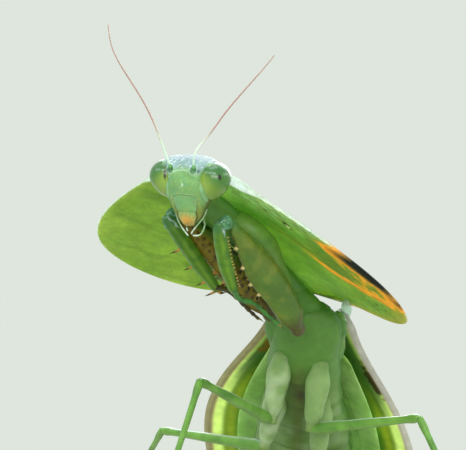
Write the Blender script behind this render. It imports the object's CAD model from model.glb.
"""The looks of a hooded leaf mantis, an adult female of Choeradodis, life size.

Lengths are in millimetres and MM turns them to metres. The animal faces -Y, its left is +X and it
stands on the floor at Z = 0. Every region of the body has a frame of its own: forward, left and up.
"""
import math

import bpy
import numpy as np
from mathutils import Matrix, Vector


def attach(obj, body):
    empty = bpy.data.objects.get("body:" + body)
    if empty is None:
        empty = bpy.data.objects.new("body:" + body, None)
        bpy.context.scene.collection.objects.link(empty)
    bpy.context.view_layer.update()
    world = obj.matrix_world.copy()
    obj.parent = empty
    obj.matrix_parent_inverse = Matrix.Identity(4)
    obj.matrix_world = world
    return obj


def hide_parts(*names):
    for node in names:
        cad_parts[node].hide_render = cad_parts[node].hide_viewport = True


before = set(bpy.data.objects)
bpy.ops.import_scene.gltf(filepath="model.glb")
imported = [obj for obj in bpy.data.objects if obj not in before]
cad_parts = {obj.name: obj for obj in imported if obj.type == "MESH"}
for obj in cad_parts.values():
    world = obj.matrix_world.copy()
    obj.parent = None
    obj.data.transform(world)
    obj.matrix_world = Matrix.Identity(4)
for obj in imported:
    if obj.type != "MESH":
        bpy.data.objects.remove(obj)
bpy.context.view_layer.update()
MM = 0.001


# The set. A pale matt floor under a pale sky, as in a museum's studio: one broad soft light high behind
# the animal, which shines through its hood and wings, a softer one above, and a ring of narrow strips in
# front, which draw glints on wax and eyes. The camera is low and leans with the animal.
CAMERA_AT = Vector((10.67, -154.57, 5.04)) * MM
CAMERA_AIM = Vector((-5.71, -27.23, 25.46)) * MM
CAMERA_LEAN = 7.0
CAMERA_LENS = 125.5
LIGHTS_AIM = Vector((-5.0, -20.0, 25.0)) * MM
SKY_COLOUR, SKY_STRENGTH = "#e4ebe2", 0.95
FLOOR_REACH = 1200.0
FLOOR_SHADES = "#a5aaa0", "#adb2a8"


def linear(code):
    """An sRGB colour such as #88aa33 as linear red, green and blue."""
    srgb = np.array([int(code[i:i + 2], 16) for i in (1, 3, 5)]) / 255
    return np.where(srgb <= 0.04045, srgb / 12.92, ((srgb + 0.055) / 1.055)**2.4)


def add(tree, kind, inputs=None, **settings):
    """Adds one shader node. Settings are its own properties, and inputs gives its sockets a value each,
    or another node's output to be linked."""
    made = tree.nodes.new("ShaderNode" + kind)
    for name, value in settings.items():
        setattr(made, name, value)
    for socket, value in (inputs or {}).items():
        if isinstance(value, bpy.types.NodeSocket):
            tree.links.new(value, made.inputs[socket])
        else:
            made.inputs[socket].default_value = value
    return made


def blank(name):
    """A new material with only its output node, and that node."""
    made = bpy.data.materials.new(name)
    made.use_nodes = True
    made.node_tree.nodes.clear()
    return made, add(made.node_tree, "OutputMaterial")


def aimed(obj, at, aim, lean=0.0):
    """Puts a camera or light at a place, looking at another, leaning by some degrees to its left."""
    turn = (Vector(aim) - Vector(at)).to_track_quat("-Z", "Y").to_matrix()
    turn = turn @ Matrix.Rotation(math.radians(lean), 3, "Z")
    obj.matrix_world = Matrix.Translation(at) @ turn.to_4x4()
    bpy.context.scene.collection.objects.link(obj)


lens = bpy.data.cameras.new("camera")
lens.lens = CAMERA_LENS
lens.clip_start = 0.001
camera = bpy.data.objects.new("camera", lens)
aimed(camera, CAMERA_AT, CAMERA_AIM, CAMERA_LEAN)
bpy.context.scene.camera = camera

LIGHTS = {  # name: place, width and height, watts, colour
    "sky_behind": ((40.0, 330.0, 330.0), (420.0, 380.0), 2.8, "#fbfffb"),
    "sky_above": ((-60.0, -60.0, 300.0), (200.0, 200.0), 0.34, "#eef4ff"),
    "front_strip": ((-50.0, -340.0, 205.0), (300.0, 60.0), 0.42, "#f3f8ff"),
    "left_strip": ((-290.0, -180.0, 200.0), (240.0, 90.0), 0.22, "#f3f8ff"),
    "right_strip": ((300.0, 10.0, 215.0), (300.0, 90.0), 0.25, "#f7faff"),
    "low_fill": ((60.0, -360.0, 20.0), (300.0, 200.0), 0.95, "#fdfbf2"),
}
for name, (place, (width, height), watts, colour) in LIGHTS.items():
    lamp = bpy.data.lights.new(name, "AREA")
    lamp.shape = "RECTANGLE"
    lamp.size, lamp.size_y = width * MM, height * MM
    lamp.energy = watts
    lamp.color = linear(colour)
    lamp_object = bpy.data.objects.new(name, lamp)
    lamp_object.visible_camera = False
    aimed(lamp_object, Vector(place) * MM, LIGHTS_AIM)

world = bpy.data.worlds.new("pale room")
world.use_nodes = True
sky = world.node_tree.nodes["Background"].inputs
sky["Color"].default_value = (*linear(SKY_COLOUR), 1)
sky["Strength"].default_value = SKY_STRENGTH
bpy.context.scene.world = world
bpy.context.scene.view_settings.view_transform = "Standard"

corners = [(x * FLOOR_REACH * MM, y * FLOOR_REACH * MM, 0) for x, y in ((-1, -1), (1, -1), (1, 1), (-1, 1))]
floor_mesh = bpy.data.meshes.new("floor")
floor_mesh.from_pydata(corners, [], [(0, 1, 2, 3)])
floor = bpy.data.objects.new("floor", floor_mesh)
bpy.context.scene.collection.objects.link(floor)
floor_finish, out = blank("matt painted board")
tree = floor_finish.node_tree
place = add(tree, "TexCoord").outputs["Object"]
grain = add(tree, "TexNoise", {"Vector": place, "Scale": 40.0, "Detail": 4.0})
dark_shade, light_shade = ((*linear(code), 1) for code in FLOOR_SHADES)
shade = add(tree, "Mix", {"Factor": grain.outputs["Fac"], "A": dark_shade, "B": light_shade},
            data_type="RGBA")
matt_paint = add(tree, "BsdfPrincipled", {"Base Color": shade.outputs["Result"], "Roughness": 0.8})
tree.links.new(matt_paint.outputs[0], out.inputs["Surface"])
floor_mesh.materials.append(floor_finish)


# The hood. The pronotum of this mantis spreads into a thin leaf-like shield on each side. It is a sheet
# of living cuticle that glows yellow-green with light behind it, thick and rounded at the collar over
# the head, thin at the sides, with a keel on top, netted veins and, on its left side, a scorched patch.
CENTRE = (0.05, -8.47, 0.0)
THORAX_AT, THORAX_TURN = (-9.93, -18.28, 30.57), (-26.1, 17.0, 6.6)
HOOD_LENGTH = 23.7
HOOD_OUTLINE = [(0.0, 0.0), (-1.4, 3.7), (-4.3, 9.4), (-10.7, 15.0), (-20.9, 11.4), (-23.7, 5.0)]
HOOD_DROOP = 17.7
HOOD_PLATE = 0.5                # thickness at the midline and of the collar
HOOD_LEAF = 0.2                 # thickness of the spread sides
HOOD_ROWS, HOOD_SPOKES = 300, 56
HOOD_FLAT = 0.97                # beyond this share of each spoke the edge is rounded off
SPOKE_BEND = 1.25               # above 0, so that the spokes have more points near the rim

# Orange and black patches in the left half. Their depth is how far a place lies inside the black, in
# millimetres. A scorch has a middle along the rim, a reach to front and back, and a depth.
SCORCHES = ((17.0, 2.7, 3.8, 2.7), (21.9, 1.1, 1.0, 0.8))
STREAK = [(-8.7, 3.8), (-10.3, 4.9), (-11.9, 5.6), (-13.0, 6.4), (-14.1, 7.1), (-14.8, 8.1), (-14.9, 9.4),
          (-15.1, 10.8), (-15.1, 12.0), (-15.4, 13.0)]
BURN_ROUGH = 0.35               # how far the border of a burn wanders
BURN_STEPS = (                  # depth, colour, strength
    (-1.5, "#a8a43c", 0.0), (-0.95, "#b9a83e", 0.55), (-0.6, "#e4b04a", 0.9), (-0.1, "#f0bb55", 1.0),
    (-0.02, "#4a2f14", 1.0), (0.06, "#1d241c", 1.0), (1.2, "#2b3a30", 1.0))
UNBURNT = -9.0
BITE_AT, BITE_WAY = (-6.7, 6.65), (0.99, 0.14)    # a healed bite, its middle and the way that it runs


class Region:
    """Axes of one region of the body: forward, left and up, turned by yaw to the left, nose-up pitch and
    left-down roll in degrees."""

    def __init__(self, at, turn):
        yaw, pitch, roll = (math.radians(a) for a in turn)
        self.axes = np.array([[0.0, -1, 0], [1, 0, 0], [0, 0, 1]])
        for axis, angle in (((0, 1, 0), roll), ((-1, 0, 0), pitch), ((0, 0, 1), yaw)):
            self.axes = self.axes @ np.array(Matrix.Rotation(angle, 3, axis)).T
        self.at = np.array(at) + CENTRE

    def point(self, p):
        """Places given as (forward, left, up), in the whole animal's frame."""
        return np.asarray(p, float) @ self.axes + self.at

    def way(self, v):
        """A direction given as (forward, left, up), in the whole animal's frame."""
        return np.asarray(v, float) @ self.axes


def smooth(knots, values, at):
    """A natural cubic spline through the values at the knots, read at the places asked for."""
    x, y, at = np.asarray(knots, float), np.asarray(values, float), np.asarray(at, float)
    y = y.reshape(len(x), -1)
    h = np.diff(x)
    system = np.eye(len(x))
    right = np.zeros_like(y)
    for i in range(1, len(x) - 1):
        system[i, i - 1:i + 2] = h[i - 1], 2 * (h[i - 1] + h[i]), h[i]
        right[i] = 6 * ((y[i + 1] - y[i]) / h[i] - (y[i] - y[i - 1]) / h[i - 1])
    bend = np.linalg.solve(system, right)
    i = np.clip(np.searchsorted(x, at) - 1, 0, len(h) - 1)
    a, b, step = (x[i + 1] - at)[:, None], (at - x[i])[:, None], h[i][:, None]
    curve = (bend[i] * a**3 + bend[i + 1] * b**3) / (6 * step)
    return curve + (y[i] / step - bend[i] * step / 6) * a + (y[i + 1] / step - bend[i + 1] * step / 6) * b


def curve_through(points, count):
    """Places on a smooth curve through the points, spaced by the chord lengths to the power 0.6."""
    points = np.asarray(points, float)
    knots = np.r_[0, np.cumsum(np.linalg.norm(np.diff(points, axis=0), axis=1)**0.6)]
    return smooth(knots, points, np.linspace(0, knots[-1], count))


def hill(x, middle, width):
    """A smooth bump of height 1 round a middle: the bell curve exp(-((x - middle) / width)²)."""
    return np.exp(-((np.asarray(x, float) - middle) / width)**2)


def rise(x, low, high):
    """0 below one value, 1 above the other, and the smooth step 3t² - 2t³ between them."""
    t = np.clip((np.asarray(x, float) - low) / (high - low), 0, 1)
    return t * t * (3 - 2 * t)


def mottle(points, size, seed):
    """Smooth blotchy noise, mostly from -1 to 1: sixteen plane waves of about one length, whose ways,
    lengths and phases come from a seeded generator, added up."""
    draw = np.random.default_rng(seed)
    ways = draw.normal(size=(16, 3))
    ways *= 2 * math.pi / (size * draw.uniform(0.6, 1.7, 16) * np.linalg.norm(ways, axis=1))[:, None]
    return np.sin(points @ ways.T + draw.uniform(0, 2 * math.pi, 16)).sum(-1) / 3.4


def tint(paint, code, share):
    """Moves each point's colour towards another one by its share; the fourth value stays."""
    share = np.clip(np.broadcast_to(share, paint.shape[:-1]), 0, 1)[..., None]
    return np.concatenate([paint[..., :3] * (1 - share) + linear(code) * share, paint[..., 3:]], axis=-1)


def layered(paint, washes):
    """Paints washes, each a colour and its share, over each other, the first one lowest."""
    for code, share in washes:
        paint = tint(paint, code, share)
    return paint


def coat(shape, code, roughness):
    """One colour for a whole grid, with the roughness as fourth value."""
    return np.broadcast_to(np.r_[linear(code), roughness], (*shape, 4)).copy()


def faces_out(loops):
    """Unit directions that point out of rows of loops: the cross product of the steps along and round."""
    along = np.gradient(loops, axis=0)
    out = np.cross(along, np.roll(loops, -1, 1) - np.roll(loops, 1, 1))
    out /= np.maximum(np.linalg.norm(out, axis=2, keepdims=True), 1e-12)
    return out * np.sign(((loops - loops.mean(1, keepdims=True)) * out).sum())


def closed(loops, paint):
    """A closed surface over rows of loops: quads between neighbouring loops and a fan over each end. The
    faces are turned outwards by the sign of the volume that they close in."""
    rows, cols = loops.shape[:2]
    index = np.arange(rows * cols).reshape(rows, cols)
    index = np.column_stack([index, index[:, 0]])
    quads = np.stack([index[:-1, :-1], index[:-1, 1:], index[1:, 1:], index[1:, :-1]], -1).reshape(-1, 4)
    tip = np.full(cols, rows * cols)
    fans = np.vstack([np.column_stack([tip, index[0, 1:], index[0, :-1]]),
                      np.column_stack([tip + 1, index[-1, :-1], index[-1, 1:]])])
    points = np.vstack([loops.reshape(-1, 3), loops[0].mean(0), loops[-1].mean(0)])
    a, b, c, d = (points[quads[:, k]] for k in range(4))
    if (np.einsum("ij,ij->", a, np.cross(b, c)) + np.einsum("ij,ij->", a, np.cross(c, d))) < 0:
        quads, fans = quads[:, ::-1], fans[:, ::-1]
    colours = np.vstack([paint.reshape(-1, 4), paint[0].mean(0), paint[-1].mean(0)])
    return points, quads, fans, colours


def piece(name, surfaces, finish):
    """One object of closed surfaces, with their colours in its paint attribute, riding on the body."""
    points, faces, colours, start = [], [], [], 0
    for some_points, quads, fans, some_colours in surfaces:
        faces += (quads + start).tolist() + (fans + start).tolist()
        points.append(some_points)
        colours.append(some_colours)
        start += len(some_points)
    mesh = bpy.data.meshes.new(name)
    mesh.from_pydata((np.vstack(points) * MM).tolist(), [], faces)
    mesh.attributes.new("paint", "FLOAT_COLOR", "POINT").data.foreach_set("color", np.vstack(colours).ravel())
    mesh.shade_smooth()
    mesh.materials.append(finish)
    obj = bpy.data.objects.new(name, mesh)
    bpy.context.scene.collection.objects.link(obj)
    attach(obj, "root")
    return obj


def cuticle(name, grain_size, grain_depth, glow=0.0, net=0.0, scorched=False, scatter=0.0):
    """Insect cuticle, which is chitin with wax on it: the paint attribute gives its colour and roughness,
    a fine noise varies both a little, and a bump of some size and depth gives its grain. Glow is the
    share of light that comes through a thin sheet from behind, brighter than its face, net the size of
    the meshes between its finest veins, and scorched colours it by the depth of a burn."""
    made, out = blank(name)
    tree = made.node_tree
    paint = add(tree, "Attribute", attribute_name="paint")
    place = add(tree, "TexCoord").outputs["Object"]
    cloudy = add(tree, "TexNoise", {"Vector": place, "Scale": 900.0, "Detail": 5.0, "Roughness": 0.6})
    value = add(tree, "MapRange", {"Value": cloudy.outputs["Fac"], "From Min": 0.3, "From Max": 0.7,
                                   "To Min": 0.86, "To Max": 1.12})
    base = add(tree, "HueSaturation", {
        "Color": paint.outputs["Color"], "Value": value.outputs["Result"]}).outputs[0]
    grain = add(tree, "TexNoise", {"Vector": place, "Scale": 1 / (grain_size * MM), "Detail": 3.0})
    bump = add(tree, "Bump", {"Height": grain.outputs["Fac"], "Distance": grain_depth * MM, "Strength": 1.0})
    if net:
        meshes = add(tree, "TexVoronoi", {"Vector": place, "Scale": 1 / (net * MM)},
                     feature="DISTANCE_TO_EDGE")
        veined = add(tree, "MapRange", {"Value": meshes.outputs["Distance"], "From Min": 0.02,
                                        "From Max": 0.1, "To Min": 0.9, "To Max": 1.0})
        base = add(tree, "HueSaturation", {"Color": base, "Value": veined.outputs["Result"]}).outputs[0]
        bump = add(tree, "Bump", {"Height": veined.outputs["Result"], "Distance": 0.05 * MM, "Strength": 0.6,
                                  "Normal": bump.outputs["Normal"]}, invert=True)
    if scorched:
        burn = add(tree, "Attribute", attribute_name="burn")
        ragged = add(tree, "TexNoise", {
            "Vector": place, "Scale": 1 / (0.7 * MM), "Detail": 4.0, "Roughness": 0.6})
        depth = add(tree, "Math", {0: ragged.outputs["Fac"], 1: 2 * BURN_ROUGH, 2: burn.outputs["Fac"]},
                    operation="MULTIPLY_ADD")
        step = add(tree, "MapRange", {
            "Value": depth.outputs[0], "From Min": BURN_STEPS[0][0] + BURN_ROUGH,
            "From Max": BURN_STEPS[-1][0] + BURN_ROUGH})
        ramp = add(tree, "ValToRGB", {"Fac": step.outputs["Result"]})
        span = BURN_STEPS[-1][0] - BURN_STEPS[0][0]
        for k, (at_depth, code, strength) in enumerate(BURN_STEPS):
            spot = ramp.color_ramp.elements[k] if k < 2 else ramp.color_ramp.elements.new(0.5)
            spot.position = (at_depth - BURN_STEPS[0][0]) / span
            spot.color = (*linear(code), strength)
        base = add(tree, "Mix", {"Factor": ramp.outputs["Alpha"], "A": base, "B": ramp.outputs["Color"]},
                   data_type="RGBA").outputs["Result"]
    shader = add(tree, "BsdfPrincipled", {
        "Base Color": base, "Roughness": paint.outputs["Alpha"], "IOR": 1.5, "Specular IOR Level": 0.36,
        "Normal": bump.outputs["Normal"], "Subsurface Weight": scatter, "Subsurface Scale": 0.0005,
        "Subsurface Radius": (0.8, 1.0, 0.3)})
    surface = shader.outputs[0]
    if glow:
        through = add(tree, "HueSaturation", {"Color": base, "Value": 1.62})
        behind = add(tree, "BsdfTranslucent", {"Color": through.outputs[0]})
        surface = add(tree, "MixShader", {"Fac": glow, 1: shader.outputs[0], 2: behind.outputs[0]}).outputs[0]
    tree.links.new(surface, out.inputs["Surface"])
    return made


def line_far(x, y, line):
    """How far each place of a flat grid is from a line of points, and on which side: the least distance
    to its pieces, above 0 on their left when seen along the line, and the share of the line there."""
    line = np.asarray(line, float)
    nearest = np.full(x.shape, np.inf)
    side, share = np.zeros(x.shape), np.zeros(x.shape)
    for k, (a, b) in enumerate(zip(line[:-1], line[1:])):
        step = b - a
        t = np.clip(((x - a[0]) * step[0] + (y - a[1]) * step[1]) / (step @ step), 0, 1)
        far = np.hypot(x - a[0] - t * step[0], y - a[1] - t * step[1])
        closer = far < nearest
        nearest = np.where(closer, far, nearest)
        side = np.where(closer, np.sign(step[0] * (y - a[1]) - step[1] * (x - a[0])), side)
        share = np.where(closer, (k + t) / (len(line) - 1), share)
    return nearest, side, share


prothorax = Region(THORAX_AT, THORAX_TURN)

# The grid: spokes run from the keel to the rim. Each place knows its forward x and sideways y, its
# distance from the rim, and how far along the rim from the front its spoke ends.
whole_rim = curve_through([(x, -y) for x, y in HOOD_OUTLINE[:0:-1]] + HOOD_OUTLINE, 2 * HOOD_ROWS - 1)
half = whole_rim[HOOD_ROWS - 1:]
rim_along = np.r_[0, np.cumsum(np.linalg.norm(np.diff(half, axis=0), axis=1))]
half, rim_along = half[2:], rim_along[2:]
spine = np.c_[-HOOD_LENGTH * rim_along / rim_along[-1], np.zeros(len(half))]
reach = HOOD_FLAT * np.sin(np.linspace(0, SPOKE_BEND, HOOD_SPOKES)) / math.sin(SPOKE_BEND)
reach = np.r_[reach, HOOD_FLAT + (1 - HOOD_FLAT) * np.sin(np.linspace(0, math.pi / 2, 7)[1:])]
across = np.r_[-reach[:0:-1], reach]
share = np.abs(across)[None, :, None]
flat = spine[:, None] * (1 - share) + half[:, None] * share
x, y = flat[..., 0], flat[..., 1] * np.sign(across)
from_rim = np.linalg.norm(half[:, None] - flat, axis=-1)
along = np.broadcast_to(rim_along[:, None], x.shape)
collar = 1 - rise(along, 5.0, 7.0)

# The sheet: the sides droop from the keel and wave a little, and each place has its own thickness. On
# top the collar is rolled and the keel stands up, and veins show on both faces.
lift = -math.tan(math.radians(HOOD_DROOP)) * (np.sqrt(y**2 + 9) - 3)
lift += 0.18 * ((x + 12) / 12)**2 - HOOD_PLATE / 2
lift += 0.05 * hill(mottle(np.dstack([x, y, 0 * x]), 5.0, 3), 0, 0.5) * rise(from_rim, 0, 2)
middle = np.dstack([x, y, lift])
normal = np.cross(np.gradient(middle, axis=0), np.gradient(middle, axis=1))
normal /= np.maximum(np.linalg.norm(normal, axis=2, keepdims=True), 1e-9)
normal *= np.sign(normal[..., 2:].sum())
body = np.maximum(hill(y, 0, 2.2), collar * rise(from_rim, 2.2, 0.3))
thickness = HOOD_LEAF + (HOOD_PLATE - HOOD_LEAF) * body + 0.09 * hill(from_rim, 0.22, 0.16)
edge = np.sqrt(1 - np.clip((np.abs(across) - HOOD_FLAT) / (1 - HOOD_FLAT), 0, 1)**2)
thickness = thickness * edge
veins = hill(np.sin(11 * np.arctan2(np.abs(y), x + 30.0) * 3.0 + 0.4 * mottle(middle, 3.0, 5)), 1, 0.1)
veins = veins * rise(np.abs(y), 2.0, 5.0) * rise(from_rim, 0.2, 1.5)
keel = 0.28 * hill(y, 0, 0.5) - 0.12 * hill(x, -7.2, 0.4) * hill(y, 0, 2.4)
roll = 0.08 * collar * hill(from_rim, 0.45, 0.38) * edge
drop = 0.15 * rise(along, 2.2, 3.6) * (1 - rise(along, 4.8, 7.0)) * hill(from_rim, 0.45, 0.42) * edge
top = middle + normal * (thickness / 2 + roll + keel * rise(-x, 0.5, 3) + 0.035 * veins)[..., None]
under = middle - normal * (thickness / 2 + drop + 0.03 * veins)[..., None]

# The upper face is mottled leaf green with a pale waxy rim, and a whiter wax covers the collar.
left = y > 0
blotch, fine = mottle(middle, 2.2, 11), mottle(middle, 0.6, 12)
wax = collar * rise(from_rim, 1.4, 0.6) * np.where(left, 1.0, rise(from_rim, 0.5, 0.3))
paint_top = layered(coat(x.shape, "#5b8f33", 0.4), [
    ("#7ba343", 0.5 + 0.5 * mottle(middle, 4.0, 7)),
    ("#4a7d2b", 0.35 * veins),
    ("#7b9c46", 0.5 * rise(from_rim, 2.2, 0.6)),
    ("#d3dcdc", 0.9 * wax),
    ("#d3dcd8", 0.9 * rise(from_rim, 0.25, 0.1))])
paint_top[..., 3] += 0.35 * rise(from_rim, 2.5, 0.5)

# The under face is yellow-green in the right half, where light shines through it. In the left half it is
# shaded in front, clear green up to the burnt streak and olive beyond it, with fine streaks along the rim.
streaky = np.sin(9.0 * from_rim + 2.5 * mottle(middle, 3.5, 14))
streak_far, streak_side, streak_share = line_far(x, np.abs(y), STREAK)
beyond = rise(streak_far * streak_side, 0.5, -0.5) * rise(-x, 8.0, 11.0)    # outwards of the streak
dull = left * rise(-x, 11.0, 8.8)
paint_under = layered(coat(x.shape, "#93a646", 0.5), [
    ("#a8b456", 0.45 + 0.4 * mottle(middle, 6.0, 13)),
    ("#5f8f38", 0.5 * rise(np.abs(y), 4.0, 1.0) * ~left),
    ("#91a850", left * 0.9),
    ("#84a95a", dull * 0.85),
    ("#d9e2c4", left * 0.95 * rise(-x, 8.5, 2.5)),
    ("#a6bb66", left * rise(-x, 9.6, 10.6) * (1 - beyond) * 0.8),
    ("#93984c", left * beyond * 0.7),
    ("#b5a448", left * 0.7 * rise(streaky + 0.5 * fine, 0.4, 1.2) * rise(from_rim, 9, 4)),
    ("#587232", left * 0.6 * rise(-streaky + 0.5 * fine, 0.5, 1.2) * rise(from_rim, 7, 3)),
    ("#4f7a26", 0.22 * veins * ~left),
    ("#e6eaf4", 0.95 * rise(from_rim, 0.1 + 5.5 * drop, 0.04 + 3.0 * drop)),
    ("#8d8a3c", 0.35 * left * hill(from_rim, 0.32, 0.1)),
    ("#c9ad52", left * 0.75 * rise(along, 22.0, 26.0) * rise(from_rim, 2.6, 0.5))])

# How deep each place lies in a burn: the scorches at the rim, a blotchy wash and a patch round them, a
# border on their inner side, and a streak of orange with dark marks that runs forwards from there.
burn = np.full(x.shape, UNBURNT)
for middle_along, to_front, to_back, depth in SCORCHES:
    reach_here = np.where(along < middle_along, to_front, to_back)
    deep = depth * (1 - 0.6 * rise(along, middle_along, middle_along + to_back))
    blunt = (np.abs((along - middle_along) / reach_here)**3 + (from_rim / deep)**3)**(1 / 3)
    burn = np.maximum(burn, depth * (1 - blunt))
wash = rise(along, 15.5, 18.0) * rise(-x, 15.9, 15.2) * rise(from_rim, 7.0, 3.6)
blotchy = -2.0 + 1.5 * wash * rise(blotch + 0.9 * fine, -1.3, 1.2)
burn = np.maximum(burn, np.where(wash > 0, blotchy, UNBURNT))
ragged_edge = mottle(middle, 0.9, 15)
front_patch = np.hypot((along - 15.3) / 0.95, (from_rim - 1.5) / 1.5)
burn = np.maximum(burn, -0.2 - 1.8 * np.maximum(front_patch - 0.6, 0) + 0.3 * ragged_edge)
border = rise(along, 15.5, 16.5) * rise(along, 21.5, 20.0)
border_far = np.abs(from_rim - 2.6 + 0.5 * (along - 17.0))
burn = np.maximum(burn, np.where(border > 0.1, -0.35 - 1.3 * border_far + 0.35 * ragged_edge, UNBURNT))
streak_wide = 0.08 + 0.16 * streak_share + 0.12 * ragged_edge
faint_end = 0.75 * rise(streak_share, 0.5, 0.1)
burn = np.maximum(burn, -0.35 - 0.9 * np.maximum(streak_far - streak_wide, 0) - faint_end)
dark_marks = rise(streak_share, 0.4, 0.55) * rise(blotch + fine, 0.0, 0.8)
dark_marks = dark_marks * hill(streak_far * streak_side, 0.42, 0.16)
burn = np.maximum(burn, np.where(dark_marks > 0.1, 0.6 * dark_marks - 0.25, UNBURNT))
burn = np.where(left, burn, UNBURNT)

# The bite is black with a pale scar in it, and a black speck lies in front of it.
bite_x, bite_y = x - BITE_AT[0], y - BITE_AT[1]
bite_long = bite_x * BITE_WAY[0] + bite_y * BITE_WAY[1]
bite_wide = bite_y * BITE_WAY[0] - bite_x * BITE_WAY[1]
paint_under = layered(paint_under, [
    ("#0e0f09", left * rise(np.hypot(bite_long / 0.72, bite_wide / 0.36), 1.15, 0.85)),
    ("#fbeedd", left * rise(np.hypot((bite_long + 0.14) / 0.42, bite_wide / 0.22), 1.15, 0.8)),
    ("#1f2212", left * rise(np.hypot(x + 5.3, y - 5.0), 0.2, 0.1))])

loops = np.concatenate([top, under[:, ::-1]], axis=1)
paint = np.concatenate([paint_top, paint_under[:, ::-1]], axis=1)
leaf_cuticle = cuticle("thin leaf-green cuticle", 0.12, 0.012, glow=0.5, net=0.8, scorched=True)
hood = piece("hood_shield", [closed(prothorax.point(loops), paint)], leaf_cuticle)
burns = np.r_[np.concatenate([burn, burn[:, ::-1]], axis=1).ravel(), UNBURNT, UNBURNT]
hood.data.attributes.new("burn", "FLOAT", "POINT").data.foreach_set("value", burns)
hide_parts("hood")


# The eyes. Each is one big smooth compound eye, glassy and deep green where it looks up and out, and
# clear yellow-green below, with a dark false pupil and fine facets. A pale rim parts it from the face.
HEAD_AT, HEAD_TURN = (-9.36, -20.34, 28.43), (-15.0, -32.0, 0.7)
EYE_AT = np.array([0.05, 1.98, 0.05])
EYE_RADII = np.array([1.35, 1.33, 1.58])
EYE_TAPER = 0.18
EYE_TILT = math.radians(18.0)   # each eye's top leans outwards
PUPILS = {1: ((0.60, 0.64, 0.48), 0.085, 0.15), -1: ((0.78, -0.23, 0.57), 0.06, 0.24)}  # way, width, height
FACET = 0.055                   # coarser than the real 0.03 mm, so that it shows

skull = Region(HEAD_AT, HEAD_TURN)
eye_finish, out = blank("glassy compound eye")
tree = eye_finish.node_tree
paint_node = add(tree, "Attribute", attribute_name="paint")
place = add(tree, "TexCoord").outputs["Object"]
facets = add(tree, "TexVoronoi", {"Vector": place, "Scale": 1 / (FACET * MM)})
facet_bump = add(tree, "Bump", {
    "Height": facets.outputs["Distance"], "Distance": 0.003 * MM, "Strength": 0.25})
glass = add(tree, "BsdfPrincipled", {
    "Base Color": paint_node.outputs["Color"], "Roughness": 0.3, "IOR": 1.45, "Coat Weight": 0.55,
    "Coat Roughness": 0.08, "Normal": facet_bump.outputs["Normal"], "Subsurface Weight": 0.25,
    "Subsurface Scale": 0.0006, "Subsurface Radius": (0.8, 1.0, 0.3)})
tree.links.new(glass.outputs[0], out.inputs["Surface"])


def sphere(rows, columns):
    """Loops of a ball of radius 1 about the up axis, without its two poles."""
    rise_angle = np.linspace(-0.5, 0.5, rows + 2)[1:-1, None] * math.pi
    turn = np.linspace(0, 2 * math.pi, columns + 1)[None, :-1]
    return np.stack([np.cos(rise_angle) * np.cos(turn), np.cos(rise_angle) * np.sin(turn),
                     np.sin(rise_angle) + 0 * turn], -1)


def tilted(v, side, way=1):
    """Vectors turned about the forward axis by the eye's tilt, its top outwards; way -1 turns them back."""
    sine, cosine = -side * way * math.sin(EYE_TILT), math.cos(EYE_TILT)
    left, up = v[..., 1], v[..., 2]
    return np.stack([v[..., 0], left * cosine - up * sine, left * sine + up * cosine], -1)


for tag, side in (("left", 1), ("right", -1)):
    ball = sphere(128, 180)
    ball[..., :2] *= 1 + EYE_TAPER * ball[..., 2:]
    loops = tilted(ball * EYE_RADII, side)
    way = loops / np.linalg.norm(loops, axis=-1, keepdims=True)
    ahead, outwards, up_way = way[..., 0], way[..., 1] * side, way[..., 2]
    stripes = np.sin(np.arctan2(outwards, ahead) * 34)
    spot, width, height = PUPILS[side]
    spot = np.array(spot) * (1, side, 1)
    spot = spot / np.linalg.norm(spot)
    level = np.cross(spot, (0, 0, 1))
    level /= np.linalg.norm(level)
    off = np.hypot((way @ level) / width, (way @ np.cross(level, spot)) / height)
    spot_half = rise(way @ spot, 0, 0.2)
    paint = layered(coat(way.shape[:2], "#6b8a2c", 0.25), [
        ("#84a03a", 0.85 * rise(ahead - 0.75 * outwards, 0.35, 1.1)),
        ("#9bb25a", 0.5 * rise(ahead - 0.9 * outwards - 0.35 * up_way, 0.85, 1.4)),
        ("#3d7129", rise(0.75 * outwards + 0.8 * up_way, 0.1, 0.8)),
        ("#2c6431", 0.75 * rise(up_way + 0.25 * outwards, 0.5, 0.85)),
        ("#8fae5c", 0.35 * rise(up_way, -0.55, -0.95)),
        ("#8fa89a", 0.5 * rise(0.75 * up_way - 0.55 * ahead + 0.35 * outwards, 0.68, 0.8)),
        ("#4f7f26", 0.1 * rise(stripes, 0.2, 0.9)),
        ("#3f5a1c", 0.7 * rise(off, 1.9, 1.0) * spot_half),
        ("#0b0d08", rise(off, 1.15, 0.8) * spot_half)])
    eyeball = piece("compound_eye_" + tag, [closed(skull.point(loops + EYE_AT * (1, side, 1)), paint)],
                    eye_finish)
    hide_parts("eye_" + tag)


# The head. A three-cornered capsule of hard green cuticle. Below the crown sit three ocelli and the two
# sockets of the feelers, then the shield of the face, the clypeus under its curved suture, and the
# peach-coloured upper lip between the yellowish bases of the jaws.
HEAD_LEVELS = [  # up, half width, back, front
    (2.0, 0.35, -0.35, 0.1), (1.98, 0.9, -0.55, 0.32), (1.9, 1.5, -0.75, 0.6), (1.72, 2.05, -1.1, 1.0),
    (1.2, 2.45, -1.45, 1.42), (0.5, 2.45, -1.6, 1.6), (-0.5, 2.2, -1.5, 1.58), (-1.3, 1.8, -1.15, 1.47),
    (-2.0, 1.42, -0.7, 1.4), (-2.7, 1.02, -0.2, 1.36), (-3.15, 0.72, 0.25, 1.28), (-3.4, 0.42, 0.5, 1.12),
    (-3.48, 0.12, 0.72, 0.92)]
HEAD_SQUARENESS = 2.6
SOCKETS = ((0.88, 1.33), (-1.08, 1.33))         # left, up
OCELLI = ((-0.1, 1.48, 0.085), (0.26, 1.62, 0.075), (-0.26, 1.62, 0.075))    # left, up, radius
HEAD_ROWS, HEAD_COLUMNS = 148, 168
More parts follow.
